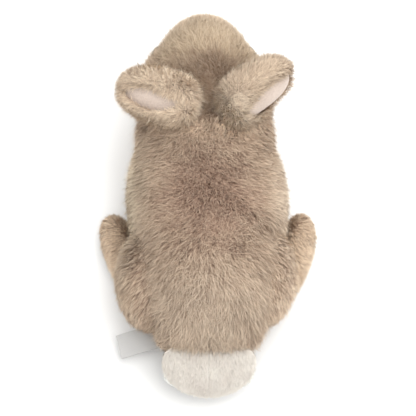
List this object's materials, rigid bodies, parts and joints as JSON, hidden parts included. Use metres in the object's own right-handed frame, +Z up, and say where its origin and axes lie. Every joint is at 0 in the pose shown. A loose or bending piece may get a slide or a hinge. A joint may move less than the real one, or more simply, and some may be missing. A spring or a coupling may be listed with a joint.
{
  "type": "plush rabbit hand puppet",
  "caption": "Crouching plush rabbit hand puppet with a hand opening under its flap tail, a stuffed head that turns and nods, soft cupped ears and floppy legs.",
  "frame": {"origin": "middle of the footprint, on the surface that the rabbit rests on", "axes": "+Z up, the rabbit faces -Y, its left side is +X"},
  "size_m": [0.148, 0.2792, 0.1348],
  "materials": {
    "fur": "matte",
    "white_plush": "matte",
    "ear_velour": "matte",
    "lining_cloth": "matte",
    "stuffing": "matte",
    "eye_plastic": "gloss",
    "washer_plastic": "satin",
    "nose_thread": "satin",
    "ribbon": "satin"
  },
  "bodies": {
    "torso": {"back_panel_left": "fur", "back_panel_right": "fur", "belly_panel": "white_plush", "opening_hem": "lining_cloth", "hand_lining": "lining_cloth", "back_stuffing": "stuffing"},
    "neck": {"neck_collar": "fur", "neck_lining": "lining_cloth"},
    "head": {"head_gusset": "fur", "cheek_panel_left": "fur", "cheek_panel_right": "fur", "chin_panel": "white_plush", "head_stuffing": "stuffing", "finger_tube": "lining_cloth", "eye_left": "eye_plastic", "eye_right": "eye_plastic", "eye_washer_left": "washer_plastic", "eye_washer_right": "washer_plastic", "nose": "nose_thread", "mouth_stitch": "nose_thread"},
    "ear_left": {"ear_back_left": "fur", "ear_lining_left": "ear_velour"},
    "foreleg_left": {"foreleg_cover_left": "fur", "paw_sole_left": "white_plush", "foreleg_stuffing_left": "stuffing"},
    "hind_leg_left": {"haunch_cover_left": "fur", "haunch_stuffing_left": "stuffing"},
    "foot_left": {"foot_cover_left": "fur", "foot_sole_left": "white_plush", "foot_stuffing_left": "stuffing"},
    "ear_right": {"ear_back_right": "fur", "ear_lining_right": "ear_velour"},
    "foreleg_right": {"foreleg_cover_right": "fur", "paw_sole_right": "white_plush", "foreleg_stuffing_right": "stuffing"},
    "hind_leg_right": {"haunch_cover_right": "fur", "haunch_stuffing_right": "stuffing"},
    "foot_right": {"foot_cover_right": "fur", "foot_sole_right": "white_plush", "foot_stuffing_right": "stuffing"},
    "tail": {"tail_outer": "white_plush", "tail_inner": "white_plush", "tail_stuffing": "stuffing"},
    "label": {"ribbon_label": "ribbon"}
  },
  "joints": [
    {"name": "head_turn", "type": "hinge", "parent": "torso", "child": "neck", "pos_m": [0, -0.04275, 0.057], "axis": [0, 0, 1], "range_deg": [-22, 22]},
    {"name": "head_nod", "type": "hinge", "parent": "neck", "child": "head", "pos_m": [0, -0.04275, 0.057], "axis": [-1, 0, 0], "range_deg": [-15, 15]},
    {"name": "ear_flap_left", "type": "hinge", "parent": "head", "child": "ear_left", "pos_m": [0.0185, -0.05075, 0.115], "axis": [0, -1, 0], "range_deg": [-8, 35], "stiffness_Nm_per_rad": 0.03},
    {"name": "foreleg_swing_left", "type": "hinge", "parent": "torso", "child": "foreleg_left", "pos_m": [0.035, -0.02875, 0.013], "axis": [-1, 0, 0], "range_deg": [-25, 12], "stiffness_Nm_per_rad": 0.03},
    {"name": "hind_leg_swing_left", "type": "hinge", "parent": "torso", "child": "hind_leg_left", "pos_m": [0.0466, 0.07125, 0.042], "axis": [-1, 0, 0], "range_deg": [-18, 3], "stiffness_Nm_per_rad": 0.25},
    {"name": "foot_flex_left", "type": "hinge", "parent": "hind_leg_left", "child": "foot_left", "pos_m": [0.0615, 0.05925, 0.01], "axis": [-1, 0, 0], "range_deg": [-20, 6], "stiffness_Nm_per_rad": 0.1},
    {"name": "ear_flap_right", "type": "hinge", "parent": "head", "child": "ear_right", "pos_m": [-0.0185, -0.05275, 0.115], "axis": [0, 1, 0], "range_deg": [-8, 35], "stiffness_Nm_per_rad": 0.03},
    {"name": "foreleg_swing_right", "type": "hinge", "parent": "torso", "child": "foreleg_right", "pos_m": [-0.035, -0.02875, 0.013], "axis": [-1, 0, 0], "range_deg": [-25, 12], "stiffness_Nm_per_rad": 0.03},
    {"name": "hind_leg_swing_right", "type": "hinge", "parent": "torso", "child": "hind_leg_right", "pos_m": [-0.0466, 0.07125, 0.042], "axis": [-1, 0, 0], "range_deg": [-18, 3], "stiffness_Nm_per_rad": 0.25},
    {"name": "foot_flex_right", "type": "hinge", "parent": "hind_leg_right", "child": "foot_right", "pos_m": [-0.0615, 0.05925, 0.01], "axis": [-1, 0, 0], "range_deg": [-20, 6], "stiffness_Nm_per_rad": 0.1},
    {"name": "tail_lift", "type": "hinge", "parent": "torso", "child": "tail", "pos_m": [0, 0.12258, 0.04335], "axis": [1, 0, 0], "range_deg": [-8, 60], "stiffness_Nm_per_rad": 0.012},
    {"name": "label_flap", "type": "hinge", "parent": "torso", "child": "label", "pos_m": [0.0335, 0.10125, 0.0185], "axis": [0, 1, 0], "range_deg": [-8, 35], "stiffness_Nm_per_rad": 0.0015}
  ]
}
